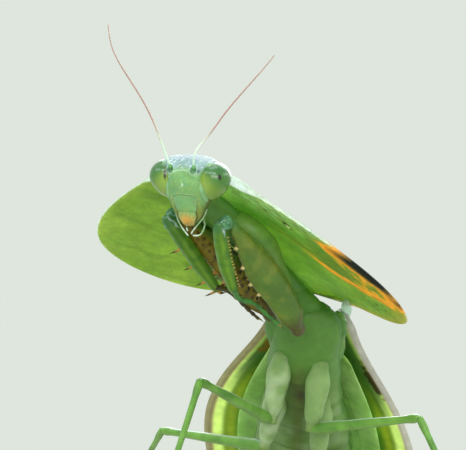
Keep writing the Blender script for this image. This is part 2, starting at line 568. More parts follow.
FACE_SHARE = 0.35               # above 0, so that the face has more points than the back of the head

levels = np.array(HEAD_LEVELS)
knots = np.r_[0, np.cumsum(np.linalg.norm(np.diff(levels[:, :2], axis=0), axis=1))]
up, wide, back, front = smooth(knots, levels, np.linspace(0, knots[-1], HEAD_ROWS)).T
wide = np.maximum(wide, 0.05)
turn = (np.arange(HEAD_COLUMNS) * 2 * math.pi / HEAD_COLUMNS)[None, :]
turn = turn - FACE_SHARE * np.sin(turn)
cosine, sine = np.cos(turn), np.sin(turn)
square = (np.abs(cosine)**HEAD_SQUARENESS + np.abs(sine)**HEAD_SQUARENESS)**(-1 / HEAD_SQUARENESS)
loops = np.stack([(back + front)[:, None] / 2 + (front - back)[:, None] / 2 * square * cosine,
                  wide[:, None] * square * sine, up[:, None] + 0 * turn], -1)
normal = faces_out(loops)
f, l, u = np.moveaxis(loops, -1, 0)             # forward, left and up
from_middle = np.abs(l)
facing = rise(normal[..., 0] + 0.35 * normal[..., 2], 0.1, 0.45)

# The lines of the face: the arch over the frons, the suture under it, the sides of clypeus and lip, and
# how far each place is from the nearest socket and eye. The areas between these lines go from 0 to 1.
arch = 1.27 - 0.3 * l**2 + 0.12 * hill(from_middle, 0.95, 0.15)
suture = -0.57 - 0.17 * l**2 - 0.35 * rise(from_middle, 0.8, 1.15)
clypeus_wide = 1.02 + 0.13 * (u + 0.6)
lip_wide = np.clip(0.78 - 0.28 * rise(u, -2.5, -3.4), 0, 1)
socket_far = np.min([np.hypot(l - a, u - b) for a, b in SOCKETS], axis=0)
from_eyes = [tilted(loops - EYE_AT * (1, side, 1), side, -1) / EYE_RADII for side in (1, -1)]
eye_far = 1.4 * (np.min(np.linalg.norm(from_eyes, axis=-1), axis=0) - 1)
below_suture = rise(suture - u, 0, 0.1)
near_eyes = rise(from_middle, 0.7, 1.2)
crown = rise(u, arch + 0.05, arch + 0.5) * rise(from_middle - 0.8 * (u - 1.2), 1.75, 1.15)
in_frons = rise(arch - u, 0, 0.08) * rise(u - suture, 0, 0.06) * rise(from_middle, 1.3, 1.18)
in_clypeus = rise(suture - u, 0.03, 0.09) * rise(u, -2.12, -2.04) * rise(clypeus_wide - from_middle, 0, 0.06)
in_lip = rise(u, -2.06, -2.14) * rise(lip_wide - from_middle, 0, 0.06)
jaw = rise(u, -1.0, -2.1) * (1 - in_clypeus) * (1 - in_lip)

# The relief: plates, ridges and furrows along those lines, rims round the sockets, a cut where the eyes
# sit, and a fine grain.
relief = 0.03 * in_frons + 0.02 * in_clypeus * (1 - 0.6 * l**2)
relief += 0.05 * in_lip * (1 - (l / 0.8)**2) * rise(u, -2.05, -2.5)
relief += 0.065 * hill(u, arch + 0.06, 0.05) * rise(from_middle, 1.2, 1.0) * facing
relief += 0.05 * hill(u, suture, 0.03)
relief -= 0.04 * hill(u, suture - 0.09, 0.03) * rise(from_middle, 1.3, 1.1) * facing
relief -= 0.025 * hill(from_middle, clypeus_wide + 0.04, 0.045) * below_suture * rise(u, -2.2, -2.0)
relief -= 0.05 * hill(from_middle, lip_wide + 0.03, 0.035) * rise(u, -2.05, -2.15) * facing
relief -= 0.015 * hill(u, -2.1, 0.05) * rise(from_middle, 0.9, 0.8) * facing
relief += facing * (0.09 * hill(socket_far, 0.3, 0.07) - 0.12 * hill(socket_far, 0, 0.22))
relief -= 0.3 * rise(eye_far, 0.5, 0) * rise(u, -0.4, 0.7) * rise(from_middle, 0.8, 1.1) * rise(f, 0.45, 0.95)
relief += 0.03 * hill(eye_far, 0.1, 0.06) * near_eyes - 0.05 * hill(eye_far, 0.24, 0.06) * near_eyes * facing
relief -= 0.035 * hill(from_middle, 0.62, 0.05) * rise(u, 1.45, 1.6)
relief += crown * (0.004 * mottle(loops, 0.35, 25) + 0.045 * hill(np.hypot(l, u - 1.55), 0.42, 0.1))
relief += 0.05 * hill(np.hypot(l, u - 0.35), 0, 0.55) * facing
relief += 0.08 * jaw * hill(from_middle, 1.05 + 0.3 * (u + 2.2), 0.3) * rise(u, -3.2, -2.6)
relief += 0.009 * mottle(loops, 0.16, 21) * facing + 0.006 * mottle(loops, 0.09, 22)
loops = loops + normal * relief[..., None]

# The colours: mottled green, yellower below, with a peach-coloured lip, a bluish wax on the crown, three
# white specks on the frons, pale ridges, dark furrows and deep green sockets.
lip_skin = in_lip * facing
peach = hill(np.hypot(l * 0.9 + 0.05, (u + 2.9) * 0.85), 0, 0.42)
grains = rise(mottle(loops, 0.12, 19), 0.8, 1.4) * hill(from_middle, 1.22, 0.16) * rise(u, 0.1, 0.8)
specks = [hill(np.hypot(l - at_left, u - at_up), 0, 0.045)
          for at_left, at_up in ((0.04, 0.23), (-0.04, 0.12), (0.0, 0.31))]
pale = np.maximum.reduce([
    0.5 * hill(u, arch + 0.06, 0.05) * rise(from_middle, 1.25, 1.0) * facing,
    0.4 * hill(socket_far, 0.31, 0.05) * facing,
    0.22 * hill(eye_far, 0.1, 0.05) * near_eyes,
    0.32 * hill(u, suture, 0.03) * rise(from_middle, 1.35, 1.1) * facing,
    0.18 * hill(from_middle, clypeus_wide - 0.03, 0.04) * below_suture * rise(u, -2.1, -1.9) * facing])
dark = np.maximum.reduce([
    0.5 * hill(u, suture - 0.085, 0.035) * rise(from_middle, 1.3, 1.1) * facing,
    0.9 * hill(from_middle, lip_wide + 0.03, 0.045) * rise(u, -2.1, -2.2) * facing,
    0.1 * hill(u, -2.12, 0.03) * rise(from_middle, 0.8, 0.6) * facing,
    0.2 * hill(from_middle, clypeus_wide + 0.05, 0.04) * below_suture * rise(u, -2.1, -1.9) * facing])
paint = layered(coat(f.shape, "#56863c", 0.36), [
    ("#7aa768", 0.9 * facing),
    ("#69a070", 0.65 * facing * rise(mottle(loops, 0.8, 23), 0, 1)),
    ("#93b873", 0.45 * in_frons * rise(mottle(loops, 0.3, 24), 0.3, 1.0)),
    ("#8a9a50", 0.45 * facing * rise(mottle(loops, 0.5, 26), 0.2, 1.1) * rise(u, 0.6, -0.6)),
    ("#72a271", 0.4 * in_clypeus * rise(u, -1.9, -1.2)),
    ("#58722a", 0.9 * jaw * facing),
    ("#8f8a36", 0.55 * jaw * hill(from_middle, 0.95, 0.25) * rise(u, -1.6, -2.4)),
    ("#99a552", 0.5 * hill(from_middle, 1.12, 0.12) * facing * rise(u, -0.6, -1.0) * rise(u, -2.3, -1.9)),
    ("#a9a35a", 0.95 * lip_skin * rise(u, -2.15, -2.85)),
    ("#cd9440", 0.95 * lip_skin * peach),
    ("#9a7f3c", 0.7 * lip_skin * rise(u, -3.1, -3.4)),
    ("#8f9150", 0.4 * hill(l, -0.45, 0.25) * hill(u, -2.3, 0.25) * facing),
    ("#7b6a30", 0.4 * lip_skin * rise(mottle(loops, 0.22, 27), 0.3, 1.2)),
    ("#8ba2ae", 0.8 * crown),
    ("#5f8a76", 0.4 * crown * rise(mottle(loops, 0.6, 28), 0.0, 1.0)),
    ("#dfe6f2", 0.45 * crown * rise(mottle(loops, 0.3, 29), 0.5, 1.4)),
    ("#dcebe8", 0.7 * facing * grains),
    ("#99a8ae", rise(f, 0.55, 0.2) * rise(u, 1.35, 1.7)),
    *(("#eff6f0", 0.8 * facing * speck) for speck in specks),
    ("#c4dccb", pale),
    ("#39401f", dark),
    ("#2c6b35", 0.75 * facing * rise(socket_far, 0.34, 0.2)),
    ("#1a4424", 0.8 * facing * hill(np.hypot(from_middle - 1.3, u - 1.28), 0, 0.13)),
    ("#5a4a22", 0.65 * rise(u, -1.0, -1.6) * rise(facing, 0.8, 0.2))])
paint[..., 3] = 0.38 + 0.22 * crown
head_surface = closed(skull.point(loops), paint)
shell_cuticle = cuticle("waxy green cuticle", 0.06, 0.014, scatter=0.12)

dot = sphere(12, 24)
beads = []
for at_left, at_up, radius in OCELLI:
    nearest = np.where(f > 0, np.hypot(l - at_left, u - at_up), 9).argmin()
    seat = loops.reshape(-1, 3)[nearest]
    beads.append(closed(skull.point(dot * radius + seat), coat(dot.shape[:2], "#b9c3a8", 0.1)))
piece("ocelli", beads, eye_finish)


# The mouthparts under the jaws: the soft lower lip, and two pairs of jointed palps, thin pale feelers
# that curl round the mouth, each joint a little thicker towards its end.
PALPS = [  # way points (forward, left, up), shares where the joints end
    ([(0.1, -1.45, -1.5), (0.75, -1.31, -1.76), (0.85, -1.14, -2.69), (0.95, -0.83, -3.45),
      (1.05, -0.4, -4.03), (1.1, -0.13, -4.34)], (0.1, 0.38, 0.66, 0.86, 1)),
    ([(0.1, 1.2, -1.9), (0.45, 1.34, -2.25), (0.7, 1.2, -2.7), (0.9, 0.84, -3.19), (1.1, 0.3, -3.86),
      (1.15, 0.13, -4.13)], (0.1, 0.36, 0.64, 0.86, 1)),
    ([(-0.6, 0.6, -3.1), (0.2, 0.93, -3.29), (0.4, 1.07, -3.47), (0.6, 0.97, -3.95), (0.8, 0.69, -4.31),
      (1.0, 0.17, -4.29)], (0.2, 0.42, 0.7, 1)),
    ([(-0.6, -0.5, -3.1), (0.2, -0.55, -3.5), (0.7, -0.4, -3.75), (1.15, -0.2, -3.72), (1.2, -0.12, -3.9)],
     (0.25, 0.6, 0.85, 1))]
PALP_RADIUS = 0.07
LIP_AT, LIP_RADII = np.array([-0.75, 0.0, -3.15]), np.array([0.55, 0.72, 0.7])


def along_path(path):
    """Unit directions along a path of points."""
    way = np.gradient(path, axis=0)
    return way / np.linalg.norm(way, axis=1, keepdims=True)


def eased(at, places, values):
    """Values between given places, joined by cosine steps, which don't overshoot."""
    places = np.asarray(places, float)
    i = np.clip(np.searchsorted(places, at) - 1, 0, len(places) - 2)
    t = (at - places[i]) / (places[i + 1] - places[i])
    t = (1 - np.cos(math.pi * np.clip(t, 0, 1))) / 2
    values = np.asarray(values, float)
    return values[i] * (1 - t) + values[i + 1] * t


def limb(path, wide_way, stations, columns):
    """Loops round a path. Stations give (share of the length, half width, half thickness), and the width
    lies along wide_way. Also gives each loop's share of the length and each column's angle, where 0 is
    the side that wide_way points to."""
    path = np.asarray(path, float)
    stations = np.asarray(stations, float)
    steps = np.r_[0, np.cumsum(np.linalg.norm(np.diff(path, axis=0), axis=1))]
    shares = steps / steps[-1]
    wide, thick = (eased(shares, stations[:, 0], stations[:, k]) for k in (1, 2))
    way = along_path(path)
    side = wide_way - way * (way @ np.asarray(wide_way, float))[:, None]
    side /= np.linalg.norm(side, axis=1, keepdims=True)
    angles = np.arange(columns) * 2 * math.pi / columns
    loops = (path[:, None] + (side * wide[:, None])[:, None] * np.cos(angles)[None, :, None]
             + (np.cross(way, side) * thick[:, None])[:, None] * np.sin(angles)[None, :, None])
    return loops, shares[:, None], angles[None, :]


def swollen(loops, factor):
    """Widens each loop about its own middle by a factor."""
    core = loops.mean(1, keepdims=True)
    return core + (loops - core) * factor[..., None]


mouth_surfaces = []
for points, joints in PALPS:
    loops, share, angle = limb(skull.point(curve_through(points, 72)), skull.way((0.3, 0.2, 1)), [
        (0, PALP_RADIUS, PALP_RADIUS), (1, PALP_RADIUS, PALP_RADIUS)], 12)
    start = np.array((0.0, *joints[:-1]))
    end = np.array(joints)
    which = np.clip(np.searchsorted(joints, share), 0, len(joints) - 1)
    within = (share - start[which]) / (end[which] - start[which])
    swell = (0.78 + 0.32 * within) * (1 - 0.3 * hill(within, 1, 0.07)) * (1 - 0.25 * hill(within, 0, 0.08))
    loops = swollen(loops, swell * np.sqrt(np.clip((1 - share) / 0.04, 0.02, 1)))
    mouth_surfaces.append(closed(loops, layered(coat(loops.shape[:2], "#88a97c", 0.3), [
        ("#6f8f50", 0.8 * hill(within, 1, 0.08)),
        ("#cddccf", 0.7 * rise(share, 0.6, 0.95) + 0.2 * rise(np.sin(angle), 0.3, 1))])))
lip = sphere(26, 40)
lip = lip * (1 - 0.12 * hill(lip[..., 1:2], 0, 0.1) * (lip[..., 2:3] < 0.5))
paint = tint(coat(lip.shape[:2], "#6f7f3a", 0.45), "#4a3a1c", 0.6 * rise(lip[..., 2], -0.2, 0.6))
mouth_surfaces.append(closed(skull.point(lip * LIP_RADII + LIP_AT), paint))


# The feelers: threads of about a hundred ringed joints. A thick base joint and a short second one stand
# pale in the socket, and the whip beyond turns reddish brown and thins to a hair.
ANTENNAE = {
    "right": [(1.15, -1.08, 1.36), (1.45, -1.35, 2.9), (0.5, -2.75, 5.5), (-0.6, -4.75, 7.95),
              (-2.0, -6.7, 10.0), (-3.85, -7.85, 11.55)],
    "left": [(1.15, 0.88, 1.36), (1.1, 1.1, 2.75), (-0.1, 1.6, 3.55), (-1.9, 2.4, 4.85), (-4.45, 3.25, 6.15),
             (-7.9, 4.05, 7.4), (-9.4, 4.2, 7.8)]}
ANTENNA_RADII = [(0, 0.09), (0.012, 0.13), (0.025, 0.1), (0.034, 0.06), (0.05, 0.08), (0.075, 0.07),
                 (0.5, 0.06), (1, 0.04)]
ANTENNA_JOINTS = 92

for tag, points in ANTENNAE.items():
    loops, share, _ = limb(skull.point(curve_through(points, 900)), skull.way((0.2, 0.9, 0.3)),
                           [(at, radius, radius) for at, radius in ANTENNA_RADII], 10)
    rings = np.sin(share * 2 * math.pi * ANTENNA_JOINTS)
    loops = swollen(loops, 1 + 0.14 * rings * rise(share, 0.09, 0.12))
    paint = layered(coat(loops.shape[:2], "#a9807a", 0.45), [
        ("#c8e4cf", rise(share, 0.34, 0.08)),
        ("#6aa564", rise(share, 0.04, 0.028)),
        ("#6d4a48", 0.6 * (0.5 + 0.5 * rings) * rise(share, 0.15, 0.4))])
    feeler = piece("feeler_" + tag, [closed(loops, paint)], shell_cuticle)
    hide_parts("antenna_" + tag)


# The trunk: the narrow body under the hood, the middle and hind thorax that carry the wings and the four
# walking legs, and the abdomen, whose plates overlap backwards like slates. It is green above and a waxy
# whitish green below, with a brown seam along the middle.
TRUNK_AT, TRUNK_TURN = (0.0, 0.0, 23.5), (0.0, 27.9, 6.7)
PROTHORAX = [  # back, half width, top, bottom
    (1.2, 0.5, -1.4, -2.2), (2.3, 1.2, -1.0, -2.5), (4.3, 2.0, -0.85, -2.7), (7.0, 2.2, -0.85, -2.75),
    (12.0, 1.6, -0.85, -2.6), (17.5, 1.4, -0.85, -2.6), (21.0, 1.5, -1.0, -3.0), (23.0, 1.3, -1.4, -3.0)]
TRUNK = [  # back, half width, top, bottom
    (-0.5, 1.6, -1.5, -3.6), (1.2, 3.1, -0.95, -4.6), (3.8, 3.2, -1.7, -5.8), (7.0, 3.4, -2.0, -6.4),
    (10.5, 3.6, -2.1, -6.6), (15.0, 4.3, -2.2, -7.1), (20.0, 4.8, -2.2, -7.4), (26.0, 4.7, -2.2, -7.2),
    (31.0, 3.7, -2.3, -6.4), (35.0, 2.0, -2.7, -5.2), (37.0, 0.7, -3.3, -4.5)]
PLATE_EDGES = (6.6, 10.4, 13.6, 17.0, 20.5, 24.0, 27.5, 30.8, 33.8)
FURROW_BACK = 7.6               # the cross furrow of the prothorax
NECK = [(0, 0.45, 0.4), (0.3, 0.7, 0.62), (0.7, 0.66, 0.6), (1, 0.5, 0.45)]
WAIST = [(0, 1.4, 0.8), (0.35, 2.7, 1.2), (0.7, 3.3, 1.4), (1, 3.0, 1.3)]
WING_SEAT = [(0, 1.4, 1.2), (0.4, 1.9, 1.5), (0.75, 1.5, 1.1), (0.93, 1.0, 0.7), (1, 0.4, 0.35)]
CERCUS = [(0, 0.4, 0.4), (0.6, 0.32, 0.3), (1, 0.06, 0.06)]
trunk = Region(TRUNK_AT, TRUNK_TURN)


def oval_rings(stations, rows, columns):
    """Rings of ovals along a region's axis, from (back, half width, top, bottom) by a cubic spline."""
    back, wide, top, bottom = smooth(np.arange(len(stations)), stations,
                                     np.linspace(0, len(stations) - 1, rows)).T
    turn = np.arange(columns) * 2 * math.pi / columns
    return np.stack([np.broadcast_to(-back[:, None], (rows, columns)), wide[:, None] * np.cos(turn),
                     (top + bottom)[:, None] / 2 + (top - bottom)[:, None] / 2 * np.sin(turn)], -1)


def raised(loops, relief):
    """Moves each point outwards by its relief."""
    return loops + faces_out(loops) * relief[..., None]


body_surfaces = []
loops = oval_rings(PROTHORAX, 70, 44)
below = rise(-faces_out(loops)[..., 2], 0.1, 0.7)
relief = 0.12 * hill(loops[..., 1], 0, 0.25) * below - 0.1 * hill(loops[..., 0], -FURROW_BACK, 0.3)
loops = raised(loops, relief + 0.01 * mottle(loops, 0.3, 31))
paint = layered(coat(loops.shape[:2], "#4f8034", 0.42), [
    ("#648f3c", 0.5 * below + 0.2 * mottle(loops, 1.5, 32)),
    ("#3c6628", 0.5 * hill(loops[..., 0], -FURROW_BACK, 0.5))])
body_surfaces.append(closed(prothorax.point(loops), paint))

loops = oval_rings(TRUNK, 176, 50)
back = -loops[..., 0]
below = rise(-faces_out(loops)[..., 2], 0, 0.6)
after_edge = np.min([np.where(back >= edge, back - edge, 9) for edge in PLATE_EDGES], axis=0)
before_edge = np.min([np.where(back < edge, edge - back, 9) for edge in PLATE_EDGES], axis=0)
relief = 0.16 * rise(before_edge, 1.6, 0.05) - 0.1 * hill(after_edge, 0, 0.16)
relief += 0.12 * hill(loops[..., 1], 0, 0.3) * below * rise(back, 9, 4)
relief -= 0.12 * hill(loops[..., 1], 0, 0.18) * below * rise(back, 4, 9)
loops = raised(loops, relief + 0.015 * mottle(loops, 0.5, 33))
left = loops[..., 1]
sideways = np.abs(left)
paint = layered(coat(loops.shape[:2], "#47762f", 0.42), [
    ("#688c42", 0.9 * below),
    ("#4d7f30", 0.6 * below * rise(back, 9, 4)),
    ("#8fa878", 0.55 * below * rise(mottle(loops, 2.5, 34), 0, 1) * rise(back, 7, 12)),
    ("#9cb27c", 0.5 * below * hill(sideways, 1.7, 0.6) * rise(back, 8, 12)),
    ("#5c5f28", 0.8 * below * hill(left, 0, 0.4) * rise(back, 3, 6)),
    ("#3f4a1e", 0.6 * below * hill(sideways, 0.9, 0.5) * rise(back, 4, 7) * rise(back, 13, 10)),
    ("#6d8240", 0.5 * hill(after_edge, 0, 0.3)),
    ("#43301a", 0.85 * below * hill(np.hypot(left - 0.2, (back - 8.3) * 0.6), 0, 0.55))])
body_surfaces.append(closed(trunk.point(loops), paint))

# Between these lie the ringed neck and the waist. On each side stand the seat of the wings, and one of
# the two short ringed cerci at the tail.
neck_path = np.linspace(prothorax.point((-3.2, 0.3, -1.9)), skull.point((-0.9, 0, -0.6)), 44)
loops, share, _ = limb(neck_path, prothorax.way((0, 1, 0)), NECK, 30)
rings = np.sin(share * 60)
loops = swollen(loops, 1 + 0.04 * rings)
paint = tint(coat(loops.shape[:2], "#5f8540", 0.5), "#46682c", 0.5 + 0.5 * rings)
body_surfaces.append(closed(loops, paint))
waist_path = np.linspace(prothorax.point((-19.0, 0, -1.9)), trunk.point((-4.5, 0, -3.8)), 24)
loops = limb(waist_path, trunk.way((0, 1, 0)), WAIST, 32)[0]
body_surfaces.append(closed(loops, coat(loops.shape[:2], "#50802f", 0.5)))
for side in (1, -1):
    path = curve_through([(-7.0, side * 1.2, -4.0), (-4.0, side * 1.7, -3.2), (-1.8, side * 2.3, -2.2),
                          (-0.9, side * 2.8, -1.5)], 40)
    loops = limb(trunk.point(path), trunk.way((0, 1, 0)), WING_SEAT, 32)[0]
    loops = raised(loops, 0.03 * mottle(loops, 0.8, 35))
    paint = tint(coat(loops.shape[:2], "#47762f", 0.42), "#5f8a3c", 0.5 + 0.4 * mottle(loops, 1.5, 30))
    body_surfaces.append(closed(loops, paint))
    path = curve_through([(-34.3, side * 1.1, -3.9), (-36.6, side * 1.7, -3.9),
                          (-38.6, side * 2.2, -4.1)], 48)
    loops, share, _ = limb(trunk.point(path), (0, 0, 1), CERCUS, 12)
    loops = swollen(loops, 1 + 0.08 * np.sin(share * 70))
    body_surfaces.append(closed(loops, coat(loops.shape[:2], "#7fa24c", 0.45)))


# The fore legs, folded to strike: the coxa hangs from the side of the thorax, the broad femur runs back up
# to the knee, and the tibia folds down along it. The femur carries four long outer spines and a row of
# small inner ones, and the tibia a comb of teeth and a hooked claw. Spines turn black towards the tip.
FORE_LEGS = {  # 1 is the left leg; shin points lie (down, under_way, face) from the knee
    1: dict(knee=(-2.8, 3.9, -3.6), base=(-17.2, 4.1, -6.5), face=(0.13, 0.78, -0.61),
            spine_lean=(0.9, 0.6, 0.5), belly=0.4, shin_wide=1.14, tuck=0.0,
            shin=[(-0.3, 0.75, 0), (1.8, 1.5, 0), (4.3, 2.2, 0), (6.6, 2.7, 0)],
            tarsus=[(-10.5, 2.2, -7.25), (-11.6, 2.6, -6.95), (-13.1, 3.1, -7.05), (-14.6, 3.8, -7.35)]),
    -1: dict(knee=(-3.75, -2.5, -3.15), base=(-17.3, 0.65, -5.55), face=(0.28, 0.82, -0.49),
             spine_lean=(0.1, 2.2, 0.1), belly=0.0, shin_wide=1.12, tuck=0.6,
             shin=[(-0.4, 0.8, 0.3), (2.0, 1.05, 0.5), (5.0, 1.45, 0.5), (7.8, 1.8, 0.5)],
             tarsus=[(-12.6, -1.0, -6.45), (-14.55, -0.6, -6.7), (-16.7, -0.2, -6.9)])}
FORE_COXA = [(0, 0.6, 0.6), (0.15, 0.9, 0.62), (0.35, 1.25, 0.62), (0.65, 1.3, 0.6), (0.86, 1.0, 0.5),
             (1, 0.45, 0.4)]
FORE_TARSUS = [(0, 0.24, 0.22), (0.4, 0.24, 0.2), (0.45, 0.25, 0.22), (0.48, 0.15, 0.15), (0.62, 0.2, 0.18),
               (0.65, 0.14, 0.14), (0.76, 0.19, 0.17), (0.79, 0.13, 0.13), (0.88, 0.18, 0.16),
               (0.9, 0.12, 0.12), (1, 0.15, 0.14)]
HIP_OFFSET = 1.65
COXA_KNOBS = 9
BIG_SPINES = (0.21, 0.36, 0.50, 0.60)           # shares of the femur's length
SMALL_SPINES = 13
COMB_TEETH = 16


def unit(v):
    """A vector's direction, with length 1."""
    return np.asarray(v, float) / np.linalg.norm(v)


def spine_cone(root, tip, radius, code, black_from=0.58):
    """A slightly curved spine from a stout root to a needle tip: a pale or orange foot, then black."""
    root, tip = np.asarray(root, float), np.asarray(tip, float)
    way = unit(tip - root)
    bow = unit(np.cross(way, (0.31, 0.52, 0.79)))
    t = np.linspace(0, 1, 14)[:, None]
    path = root + (tip - root) * t + bow * 0.1 * np.linalg.norm(tip - root) * np.sin(math.pi * t)
    taper = ((0, 1), (0.55, 0.62), (0.8, 0.42), (1, 0.1))
    loops, share, _ = limb(path, bow, [(at, part * radius, part * radius) for at, part in taper], 10)
    black = rise(share, black_from - 0.1, black_from + 0.1)
    return closed(loops, tint(coat(loops.shape[:2], code, 0.3), "#15110c", black))


def fore_spine(root, tip, *looks):
    """Adds a spine whose ends are given in the prothorax's frame."""
    spine_surfaces.append(spine_cone(prothorax.point(root), prothorax.point(tip), *looks))


spine_surfaces = []
knee_ball = sphere(32, 48)
for side, leg in FORE_LEGS.items():
    knee, base, face = np.array(leg["knee"]), np.array(leg["base"]), unit(leg["face"])
    down = unit(base - knee)
    face = unit(face - down * (face @ down))
    under_way = np.cross(down, face)
    outward = face * side
    length = np.linalg.norm(base - knee)

    # The coxa, with a ridge on each edge and a row of knobs on the under one.
    hip = base - HIP_OFFSET * face
    shoulder = np.array([-7.2, side * 3.25, -2.5])
    coxa = curve_through([(-6.0, side * 0.7, -1.7), shoulder, (shoulder + hip) / 2, hip,
                          hip + 0.8 * face], 84)
    loops, share, angle = limb(prothorax.point(coxa), prothorax.way(under_way), FORE_COXA, 36)
    under_edge = np.cos(angle)
    ridge = 0.1 * hill(under_edge, 1, 0.05) + 0.08 * hill(under_edge, -1, 0.05)
    knobs = 0.12 * hill(under_edge, 1, 0.02) * rise(np.sin(share * 2 * math.pi * COXA_KNOBS), 0.3, 1)
    loops = swollen(loops, 1 + ridge + knobs * rise(share, 0.2, 0.3) * rise(share, 0.95, 0.85))
    paint = layered(coat(loops.shape[:2], "#648c36", 0.4), [
        ("#527f38", 0.5 * mottle(loops, 2.0, 41)),
        ("#7f9440", 0.4 * hill(under_edge, 1, 0.06)),
        ("#5c5220", 0.7 * rise(share, 0.8, 1.0))])
    body_surfaces.append(closed(loops, paint))

    # The femur. Its inner face is yellow-brown with two rows of dark dots.
    shares = np.linspace(0, 1, 132)
    under = eased(shares, [0, 0.05, 0.1, 0.3, 0.6, 0.85, 1], [0.1, 0.3, 0.5, 0.85, 1.05, 1.0, 0.55])
    under += leg["belly"] * hill(shares, 0.45, 0.17)
    over = eased(shares, [0, 0.05, 0.2, 0.3, 0.45, 0.65, 0.85, 1],
                 [0.15, 0.4, 0.8, 1.05, 1.35, 1.45, 1.25, 0.55])
    thick = eased(shares, [0, 0.1, 0.6, 0.9, 1], [0.35, 0.5, 0.55, 0.6, 0.45])
    middle = knee + down * (shares * length)[:, None] + under_way * ((under - over) / 2)[:, None]
    loops, share, angle = limb(prothorax.point(middle), prothorax.way(under_way),
                               np.c_[shares, (under + over) / 2, thick], 44)
    under_edge = np.cos(angle) + 0 * share
    over_edge = -under_edge
    outer = faces_out(loops) @ prothorax.way(outward)
    inner_face = rise(-outer, -0.1, 0.35)
    relief = -0.22 * hill(under_edge, 1, 0.02) * rise(share, 0.05, 0.2) * rise(share, 0.75, 0.6)
    relief += 0.07 * hill(over_edge, 1, 0.012) + 0.05 * hill(under_edge, 0.86, 0.04)
    relief += 0.012 * mottle(loops, 0.35, 43) - 0.03 * hill(under_edge, 0.2, 0.12) * (outer > 0)
    loops = raised(loops, relief)
    drift = share * 7 + under_edge * 1.1 + 0.5 * mottle(loops, 2.5, 40)
    dots_along = share * length * 1.25
    dots = np.minimum(np.hypot((dots_along - 0.5) % 1 - 0.5, (under_edge - 0.25) / 0.55),
                      np.hypot(dots_along % 1 - 0.5, (under_edge + 0.25) / 0.55))
    dotted = rise(dots + 0.05 * mottle(loops, 0.5, 39), 0.34, 0.14) * rise(share, 0.06, 0.12)
    paint = layered(coat(loops.shape[:2], "#54752a", 0.4), [
        ("#4d6d26", 0.4 + 0.4 * mottle(loops, 2.2, 44)),
        ("#6f7d2c", 0.45 * rise(np.sin(drift), 0.0, 1.0)),
        ("#6f7a2a", 0.3 * rise(under_edge, 0.3, 0.9)),
        ("#3f5a22", 0.55 * hill(over_edge, 0.93, 0.05) * (outer > 0)),
        ("#8aa05c", 0.25 * hill(over_edge, 1, 0.02) * rise(share, 0.6, 0.1)),
        ("#8a8f3a", 0.3 * rise(mottle(loops, 1.3, 50), 0.3, 1.2) * (outer > 0)),
        ("#84731a", inner_face * rise(under_edge, -0.75, -0.3)),
        ("#57451a", 0.6 * inner_face * rise(mottle(loops, 0.8, 45), 0, 1) * rise(under_edge, -0.6, -0.2)),
        ("#2c1e0e", 0.8 * inner_face * dotted),
        ("#6d4f1e", 0.8 * hill(under_edge, 1, 0.06) * rise(share, 0.3, 0.45)),
        ("#4a4018", 0.8 * rise(share, 0.8, 0.97)),
        ("#2d6b40", 0.7 * rise(share, 0.1, 0.02))])
    body_surfaces.append(closed(loops, paint))

    # The balls of hip and knee. The knee is dark green with pale streaks.
    hip_ball = dot * (0.85, 0.62, 0.7) + base - 0.35 * face + 0.25 * down
    body_surfaces.append(closed(prothorax.point(hip_ball), coat(dot.shape[:2], "#544e22", 0.45)))
    loops = knee_ball * (0.66, 0.55, 0.62) * (1 + 0.03 * mottle(knee_ball, 0.5, 38)[..., None])
    streaks = np.sin(knee_ball @ (5.0, 3.0, -7.0) + 1.5 * mottle(knee_ball, 0.9, 46))
    paint = layered(coat(loops.shape[:2], "#3a7048", 0.3), [
        ("#6b9a72", 0.5 * rise(mottle(knee_ball, 0.7, 37), 0, 1)),
        ("#b9d2d2", 0.5 * rise(streaks, 0.7, 0.98) * rise(mottle(knee_ball, 0.35, 34), 0.2, 0.9))])
    body_surfaces.append(closed(prothorax.point(loops + knee + 0.1 * down + 0.35 * under_way), paint))

    # The spines of the femur.
    lean_out, lean_under, lean_up = leg["spine_lean"]
    spine_looks = ("#d8c58e", 0.58) if side > 0 else ("#c08c42", 0.78)
    for spot in BIG_SPINES:
        edge = np.interp(spot, shares, under)
        root = knee + down * spot * length + under_way * (edge - 0.2) + outward * 0.15
        tip = root + outward * lean_out + under_way * lean_under - down * lean_up
        fore_spine(root - outward * 0.2, tip, 0.2, *spine_looks)
    draw = np.random.default_rng(70 + side)
    for k in range(SMALL_SPINES):
        spot = 0.16 + 0.5 * (k + draw.uniform(-0.25, 0.25)) / SMALL_SPINES
        tall = draw.uniform(0.22, 0.4) * (1.0 if side > 0 else 1.5)
        edge = np.interp(spot, shares, under)
        root = knee + down * spot * length + under_way * (edge - 0.12) - outward * 0.25
        tip = root - outward * 0.25 * tall + under_way * tall - down * 0.12
        fore_spine(root, tip, 0.08, "#9c8538", 0.45)

